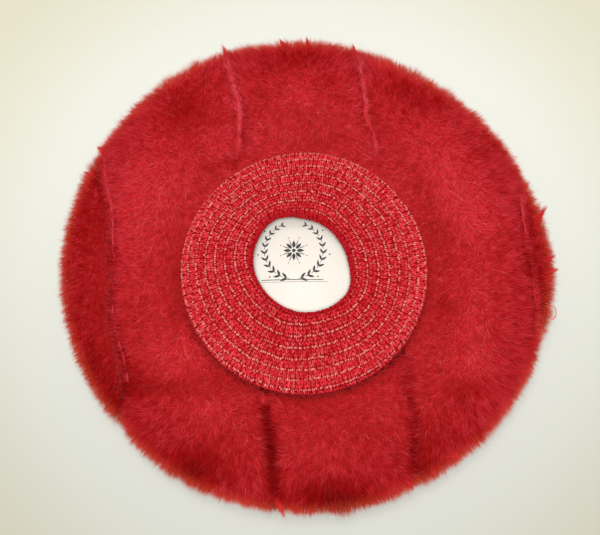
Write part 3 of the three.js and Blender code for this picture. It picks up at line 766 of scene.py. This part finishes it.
def seam_ridge(name, per_length, proud):
    """Fibres matted into a pale cord along a seam, where it stands up; its paleness is partly painted
    highlight from the seam's lines.
    """
    n = int(per_length * 2 * underside.length)
    along = rng.uniform(0.1, 0.9, n)
    side = np.where(rng.uniform(0, 1, n) < 0.5, 1.0, -1.0)
    angle, reached = seam_points(name, along, side)
    angle, along = angle[reached], along[reached]
    middle = plush_point(angle, along, 0 * angle)[:, :2].T
    height = np.clip(seam_tone(*middle) * (0.8 + 0.5 * waves(*middle, 9 * MM, 31)), -0.6, 0.9)
    wander = 0.9 * waves(*middle, 11 * MM, 32) * MM
    spread = (0.7 + 0.5 * np.abs(height)) * MM * (1 + 0.5 * waves(*middle, 7 * MM, 33))
    angle = angle + (wander + rng.normal(0, 1, len(angle)) * spread) / RIM_RADIUS
    shown = height > 0.15
    angle, along, height = angle[shown], along[shown], height[shown]
    root, rise, ahead, sideways = plush_frame(angle, along, (3.8 - 2.2 * height - proud) * MM, grooved=False)
    n = len(angle)
    onwards = np.where(rng.uniform(0, 1, n) < 0.4, -1.0, 1.0)
    seam_way = np.stack([SEAMS[name][1] * onwards, -onwards], axis=-1)
    outwards, round_about = out_and_round(seam_way, root[:, 0], root[:, 1])
    run = unit(ahead * outwards[:, None] + sideways * (round_about + rng.normal(0, 0.6, n))[:, None])
    length = rng.uniform(2.8, 5.5, n) * MM
    width = between((0.26, 0.42), n)
    lift = rng.uniform(0.3, 1.2, n)
    strands = strand_mesh(root, rise, run, length, width, 1, lift, lift - 1.2)
    # Painted highlight: the ridge's fibres are lighter and paler where the seam's painted light is stronger
    tone = 0.5 + height + rng.normal(0, 0.2, n)
    return with_looks(strands, tone, pale(n, 0.6, 0.1, 0.6) * height, np.zeros(n))


# Tufts on the outline: place where a tuft stands out of the pile, its direction and length in mm
TUFTS = [
    (-54, 152, -0.5, 0.86, 7), (36, 156, -0.37, 0.93, 7.5), (-140, 83, -0.7, 0.7, 5),
    (160, 36, 0.54, 0.84, 9), (-22, -160, 0.4, -0.92, 11.5), (72, -150, 0.4, -0.9, 4),
    (-14, 160, -0.6, 0.8, 4), (2, 163, -0.3, 1, 4), (-150, 70, -1, 0.3, 3), (163, 8, 0.9, 0.5, 5),
    (163, 0, 1, 0.3, 5), (158, -52, 1, 0.35, 4), (150, -72, 1, 0.05, 4), (98, -130, 0.95, -0.1, 4),
]


def outline_tufts():
    """Fibres that run together to a point where a seam or a tangle stands out of the rim."""
    parts = []
    for x, y, way_x, way_y, length in TUFTS:
        n = TUFT_FIBRES
        angle = math.atan2(y, x) + rng.normal(0, 1.3 * MM, n) / RIM_RADIUS
        along = rng.normal(0.74, 0.012, n)
        root, rise, _, _ = plush_frame(angle, along, np.full(n, 3 * MM))
        tip = root.mean(axis=0) + unit(np.array([way_x, way_y, 0.2])) * (length + 5) * MM
        reach = tip - root
        distance = np.linalg.norm(reach, axis=1) * rng.uniform(0.5, 1.04, n)
        width = between((0.35, 0.55), n)
        way = unit(unit(reach) + rng.normal(0, 0.05, (n, 3)))
        level = np.zeros(n)
        strands = strand_mesh(root, rise, way, distance, width, 2, level, level, lifted(rise, np.ones(n)))
        tone = np.clip(rng.normal(0.5, 0.15, n), 0, 1)
        # Painted glow on the tuft's fibres
        parts.append(with_looks(strands, tone, level, rng.uniform(0, 0.5, n)))
    return parts


def hair_loop(centre, half, radius):
    """One fibre of the rim bent to a loop: its centre, half its size each way and its radius, in mm."""
    turn = circle(18)
    way = np.stack([np.cos(turn), np.sin(turn), 0 * turn], axis=-1)
    middle = np.array(centre) * MM + way * np.array(half) * MM
    corner = np.arange(4) * np.pi / 2
    rise = np.array([0, 0, 1.0])
    rings = np.stack([middle + radius * MM * (way * np.cos(c) + rise * np.sin(c)) for c in corner], axis=1)
    points, faces = closed_rings(rings)
    ones = np.ones(len(points))
    # Painted glow on the loop
    return points, faces, np.tile(rise, (len(points), 1)), ones, 0.6 * ones, 0.2 * ones, 0.5 * ones


def stray_hairs(n):
    """Long thin hairs that stand out of the rim."""
    angle = rng.uniform(0, 2 * np.pi, n)
    along = rng.normal(0.78, 0.045, n)
    root, rise, ahead, sideways = plush_frame(angle, along, np.full(n, PILE_DEPTH))
    turn = rng.uniform(-1.3, 1.3, n)
    run = unit(ahead * np.cos(turn)[:, None] + sideways * np.sin(turn)[:, None])
    length = rng.uniform(8, 13, n) * MM
    lift = rng.uniform(0.9, 1.5, n)
    width = rng.uniform(0.2, 0.3, n) * MM
    tip_lift = lift - rng.uniform(0, 1.1, n)
    strands = strand_mesh(root, rise, run, length, width, 3, lift, tip_lift, lifted(rise, np.ones(n)))
    tone = np.clip(rng.normal(0.55, 0.15, n), 0, 1)
    # Painted glow on the stray hairs
    return with_looks(strands, tone, np.zeros(n), rng.uniform(0.1, 0.8, n))


# Ridges: fibres for each millimetre of seam, and how far they stand proud of the others, in mm
RIDGES = {"left": (6, 0.3), "left_middle": (6, 0), "right_middle": (6, 0), "right": (11, 1.5)}

make_pile("seam_ridges", [seam_ridge(name, count / MM, proud) for name, (count, proud) in RIDGES.items()])
loop = ((165.5, -27, 26), (2.6, 4.6, 0), 0.32)
make_pile("rim_hairs", [*outline_tufts(), stray_hairs(STRAY_HAIRS), hair_loop(*loop)])


# Knitted ring

BAND_TOP = BAND_SEAT + BAND_THICKNESS
STITCH_WIDTH = 2.8 * MM
WIDEST_STITCH = 3.4 * MM
GRAIN_POINTS = 12            # points of the grain of yarn that is one leg of a stitch
# Pale rows from the outer edge to the opening, as shares of the way from the opening, and how far they shift
# outwards every 30 degrees from 15; two red rows follow each pale one
PALE_ROWS = np.array([0.975, 0.875, 0.76, 0.63, 0.495, 0.355, 0.21, 0.07])
ROW_SHIFTS = np.array([0.008, 0, 0.036, -0.008, 0, 0.045, 0.012, -0.006, -0.015, -0.05, -0.015, 0.01])
ROWS_TO_PALE = 3
ROWS_ALIKE = 6               # rows that have as many stitches as each other
ROW_STEP = 0.034             # from row to row where the ring turns down, as a share of its section
KNIT_DEPTH = 2.4 * MM
# Yarn of red and of pale rows: how far a stitch's legs lean, how far they stand out in mm, how long they are
# beside a row's height, the share of them that is flecked and the palest fleck
RED_YARN = (0.3, 0.2, (0.84, 1.02), 0.3, 0.26)
PALE_YARN = (0.1, 0.35, (0.5, 0.68), 0.9, 0.84)


def band_point(angle, along, above=0.0):
    """Points of the knitted ring: round it, and from its outer edge inwards and down into the opening."""
    share, height, t_share, t_height = band_section.at(along)
    share = (share + t_height * above) / BAND_REACH
    height = height - t_share * above
    way = np.stack([np.cos(angle), np.sin(angle)], axis=-1)
    opening = OPENING_CENTRE + around(OPENING_RADII, angle)[..., None] * way
    edge = BAND_CENTRE + BAND_RADIUS * way
    flat = opening + (edge - opening) * np.asarray(share)[..., None]
    return np.concatenate([flat, (BAND_TOP + height)[..., None]], axis=-1)


def band_step(angle, along, turn, onwards):
    """The way from a point of the ring before a place to one as far after it."""
    return band_point(angle + turn, along + onwards) - band_point(angle - turn, along - onwards)


def band_base():
    """The fabric behind the stitches, a closed skin."""
    turn = circle(140)
    face = [
        band_point(turn, np.full_like(turn, along), (-0.5 + 0.5 * ease(0.7, 0.8, along)) * MM)
        for along in np.linspace(1, 0.02, 26)
    ]
    back = [band_point(turn, np.full_like(turn, along), -KNIT_DEPTH) for along in np.linspace(0.05, 1, 14)]
    return closed_rings(np.stack(face + back))


def grain_mesh(centre, ahead, across, up, length, width):
    """Closed five-sided grains of yarn with soft normals, one for each leg of a stitch."""
    n = len(centre)
    facing = unit(up + np.array([0, 0, 0.8]))
    rings, normals = [], []
    for step in (-0.4, 0.4):
        middle = centre + ahead * (length * step)[:, None]
        for way in (np.arange(5) + 0.5) * 2 * np.pi / 5:
            side = across * (0.5 * np.cos(way)) + up * (0.45 * np.sin(way))
            rings.append(middle + side * width[:, None])
            normals.append(unit(facing + 1.3 * side + 0.5 * step * ahead))
    for step in (-0.62, 0.62):
        rings.append(centre + ahead * (length * step)[:, None] - up * (width * 0.15)[:, None])
        normals.append(unit(facing + 0.8 * step * ahead))
    faces = []
    for k in range(5):
        j = (k + 1) % 5
        faces += [(10, j, k), (k, j, 5 + j), (k, 5 + j, 5 + k), (11, 5 + k, 5 + j)]
    faces = np.array(faces)[None] + (np.arange(n) * GRAIN_POINTS)[:, None, None]
    points, normals = (np.stack(rows, axis=1).reshape(-1, 3) for rows in (rings, normals))
    return points, faces.reshape(-1, 3), normals


def row_places():
    """Rows of stitches along the ring's section, and which of them are pale."""
    alongs = np.linspace(0.055, 0.9, 300)
    shares = band_section.at(alongs)[0] / BAND_REACH
    marks = np.interp(-PALE_ROWS, -shares, alongs)
    count = ROWS_TO_PALE * (len(marks) - 1) + 1
    places = np.interp(np.arange(count) / ROWS_TO_PALE, np.arange(len(marks)), marks)
    edge = [0.0, 0.022, 0.043]
    wall = np.arange(places[-1] + ROW_STEP, 0.985, ROW_STEP)
    is_pale = np.arange(count) % ROWS_TO_PALE == 0
    return np.concatenate([edge, places, wall]), [False] * len(edge) + list(is_pale) + [False] * len(wall)


def stitches():
    """The legs of all stitches, row by row, with their tone and paleness."""
    parts = []
    places, is_pale = row_places()
    for row, (along, pale_row) in enumerate(zip(places, is_pale)):
        lean_by, proud, longs, flecked, palest = PALE_YARN if pale_row else RED_YARN
        zone = min(row // ROWS_ALIKE * ROWS_ALIKE + ROWS_ALIKE // 2, len(places) - 1)
        ring = band_point(np.linspace(0, 2 * np.pi, 180), np.full(180, places[zone]))
        count = int(round(np.linalg.norm(np.diff(ring, axis=0), axis=1).sum() / STITCH_WIDTH))
        turn = (np.arange(count) + rng.normal(0, 0.09, count)) / count * 2 * np.pi
        pitch = 2 * np.pi / count
        free = ease(0.0, 0.14, along) * ease(1.0, 0.86, along)
        for leg in (-1, 1):
            angle = turn + pitch * (0.215 * leg + rng.normal(0, 0.03, count))
            place = along - 0.82 * free * around(ROW_SHIFTS, angle - np.pi / 12) + rng.normal(0, 0.004, count)
            centre = band_point(angle, place)
            inwards = unit(band_step(angle, place, 0, 2e-3))
            across = unit(band_step(angle, place, 1e-3, 0))
            up = unit(np.cross(across, inwards))
            spacing = np.linalg.norm(band_step(angle, place, 0, ROW_STEP / 2), axis=1)
            width = np.minimum(np.linalg.norm(band_step(angle, place, pitch / 2, 0), axis=1), WIDEST_STITCH)
            lean = lean_by * leg + rng.normal(0, 0.1, count)
            ahead = inwards * np.cos(lean)[:, None] + across * np.sin(lean)[:, None]
            side = across * np.cos(lean)[:, None] - inwards * np.sin(lean)[:, None]
            lift = proud * MM + rng.normal(0, 0.1 * MM, count)
            length = spacing * rng.uniform(*longs, count)
            width = width * rng.uniform(0.33, 0.4, count)
            grains = grain_mesh(centre + up * lift[:, None], ahead, -side, up, length, width)
            # Painted shade: grains turning down the wall into the opening are darker and lose their pale
            # flecks
            on_face = ease(BAND_TOP - 2.2 * MM, BAND_TOP - 0.6 * MM, centre[:, 2])
            tone = np.clip(rng.normal(0.5, 0.28, count), 0, 1) * (0.4 + 0.6 * on_face)
            light = pale(count, flecked, 0.1, palest) * on_face
            parts.append((*grains, np.repeat(tone, GRAIN_POINTS), np.repeat(light, GRAIN_POINTS)))
    return joined(parts)


points, faces, normals, tone, light = stitches()
make_piece("knit_stitches", points, faces, knit, "knit", {"tone": tone, "light": light},
           replaces=["knit_band"], normals=normals)
points, faces = band_base()
# The fabric takes the darkest gap colour, painted shade between the stitches
dark = np.zeros(len(points))
make_piece("knit_fabric", points, faces, knit_gap_shade, "knit", {"tone": dark, "light": dark},
           replaces=["knit_band"])


# Lining and its print


def lining_height(x, y):
    share = np.minimum(np.hypot(x, y) / LINING_RADIUS, 1)
    angle = np.arctan2(y, x)
    folds = 0.5 * share * (1 - share) * np.sin(5 * angle + 3 * share)
    ripples = 0.25 * waves(x, y, 30 * MM, 12)
    return CROWN_THICKNESS + GAP + LINING_RISE * (0.5 + 0.5 * np.cos(np.pi * share)) + (folds + ripples) * MM


def lining_rings(lift):
    turn = circle(96)
    rings = []
    for share in np.linspace(0.02, 1, 18):
        x, y = LINING_RADIUS * share * np.cos(turn), LINING_RADIUS * share * np.sin(turn)
        rings.append(np.stack([x, y, lining_height(x, y) + lift], axis=-1))
    return rings


rings = np.stack([*lining_rings(LINING_THICKNESS), *lining_rings(LINING_THICKNESS - 0.4 * MM)[::-1]])
lining = make_piece("lining_cloth", *closed_rings(rings, ends=True), lining_material(), "lining",
                    replaces=["lining"])

PRINT_CENTRE = np.array([-9, 17]) * MM
WREATH_RADIUS = 20 * MM


def slab(outline):
    """A thin closed plate of ink lying on the lining, from a fan-shaped outline."""
    outline = np.asarray(outline)
    n = len(outline)
    x, y = outline.T
    base = lining_height(x, y) + LINING_THICKNESS
    top = np.stack([x, y, base + 0.12 * MM], axis=-1)
    low = np.stack([x, y, base - 0.1 * MM], axis=-1)
    points = np.vstack([top, low, top.mean(axis=0), low.mean(axis=0)])
    faces = []
    for i in range(n):
        j = (i + 1) % n
        faces += [(2 * n, i, j), (2 * n + 1, n + j, n + i), (i, n + i, n + j), (i, n + j, j)]
    return points, np.array(faces)


def leaf(place, way, length, width):
    t = np.linspace(0, 1, 6)
    middle = place + way * (length * t)[:, None]
    half = np.array([-way[1], way[0]]) * (width * np.sin(np.pi * t ** 0.8))[:, None]
    return slab(np.vstack([middle - half, (middle + half)[-2:0:-1]]))


def disc(place, radius, sides=8):
    turn = circle(sides)
    return slab(place + radius * np.stack([np.cos(turn), np.sin(turn)], axis=-1))


def rule(middle, half, thick):
    """Short pieces of a ruled line, following the lining's curve."""
    piece = 2 * MM
    x, y = 0.49 * piece, thick / 2
    corners = np.array([(-x, -y), (x, -y), (x, y), (-x, y)])
    return [slab(middle + corners + (at, 0)) for at in np.arange(-half, half, piece)]


def wreath():
    """A wreath of leaves round a rosette, over two ruled lines."""
    parts = []
    for side in (-1, 1):
        for k in range(11):
            turn = -np.pi / 2 + side * (0.24 + 0.245 * k)
            outwards = np.array([math.cos(turn), math.sin(turn)])
            onwards = side * np.array([-outwards[1], outwards[0]])
            place = PRINT_CENTRE + WREATH_RADIUS * outwards
            size = (1 - 0.035 * k) * MM
            for spread in (0.75, -0.75):
                way = unit(onwards + spread * outwards)
                parts.append(leaf(place, way, 5.2 * size, 0.85 * size))
            parts.append(leaf(place - onwards * 2.2 * MM, onwards, 4.6 * MM, 0.22 * MM))
            if k % 3 == 2:
                parts.append(disc(place + outwards * 4.6 * MM, 0.55 * MM))
    for k in range(8):
        turn = k * np.pi / 4
        way = np.array([math.cos(turn), math.sin(turn)])
        parts.append(leaf(PRINT_CENTRE + way * 1.8 * MM, way, 5.4 * MM, 1.15 * MM))
        halfway = np.array([math.cos(turn + np.pi / 8), math.sin(turn + np.pi / 8)])
        parts.append(leaf(PRINT_CENTRE + halfway * 3.4 * MM, halfway, 5.4 * MM, 0.3 * MM))
        parts.append(disc(PRINT_CENTRE + halfway * 9.6 * MM, 0.4 * MM))
    parts.append(disc(PRINT_CENTRE, 1.3 * MM, 12))
    for below, half, thick in ((20.5, 21, 0.5), (22, 24, 0.2)):
        parts += rule(PRINT_CENTRE - np.array([0, below]) * MM, half * MM, thick * MM)
    return joined(parts)


ink = make_piece("lining_print", *wreath(), ink_material(), "lining", smooth=False)


# Floor, light and camera

PHOTO_WIDTH = 600  # pixels
PIXEL = 0.68       # mm


def area_light(name, place, target, size, power, colour):
    light = bpy.data.lights.new(name, "AREA")
    light.shape = "DISK"
    light.size = size
    light.energy = power
    light.color = colour
    lamp = bpy.data.objects.new(name, light)
    lamp.location = place
    lamp.rotation_euler = (Vector(target) - Vector(place)).to_track_quat("-Z", "Y").to_euler()
    scene.collection.objects.link(lamp)


def floor():
    mesh = bpy.data.meshes.new("floor")
    half = 3.0
    corners = [(-half, -half, 0), (half, -half, 0), (half, half, 0), (-half, half, 0)]
    mesh.from_pydata(corners, [], [(0, 1, 2, 3)])
    mesh.materials.append(floor_material())
    ground = bpy.data.objects.new("floor", mesh)
    scene.collection.objects.link(ground)


def camera():
    """The photograph's view: nearly straight down, the hat a little right of and below the middle."""
    elevation = math.radians(78)
    distance = 1.4
    sensor = 36.0
    frame_width = PHOTO_WIDTH * PIXEL * MM
    aim = Vector((-4.8 * MM, 4.9 * MM, 22 * MM))
    data = bpy.data.cameras.new("camera")
    data.sensor_width = sensor
    data.lens = sensor * distance / frame_width
    eye = bpy.data.objects.new("camera", data)
    eye.location = aim + distance * Vector((0, -math.cos(elevation), math.sin(elevation)))
    eye.rotation_euler = (aim - eye.location).to_track_quat("-Z", "Y").to_euler()
    scene.collection.objects.link(eye)
    scene.camera = eye


def lights():
    world = bpy.data.worlds.new("studio")
    world.use_nodes = True
    background = world.node_tree.nodes["Background"].inputs
    background["Color"].default_value = (1, 0.985, 0.94, 1)
    background["Strength"].default_value = 0.13
    scene.world = world
    area_light("key", (-0.3, 0.5, 4.4), (0, 0, 0), 1.5, 42, (1, 1, 0.96))
    area_light("front", (0.0, -0.9, 4.5), (0, 0, 0), 0.9, 156, (1, 1, 0.96))


floor()
camera()
lights()
scene.view_settings.view_transform = "Standard"
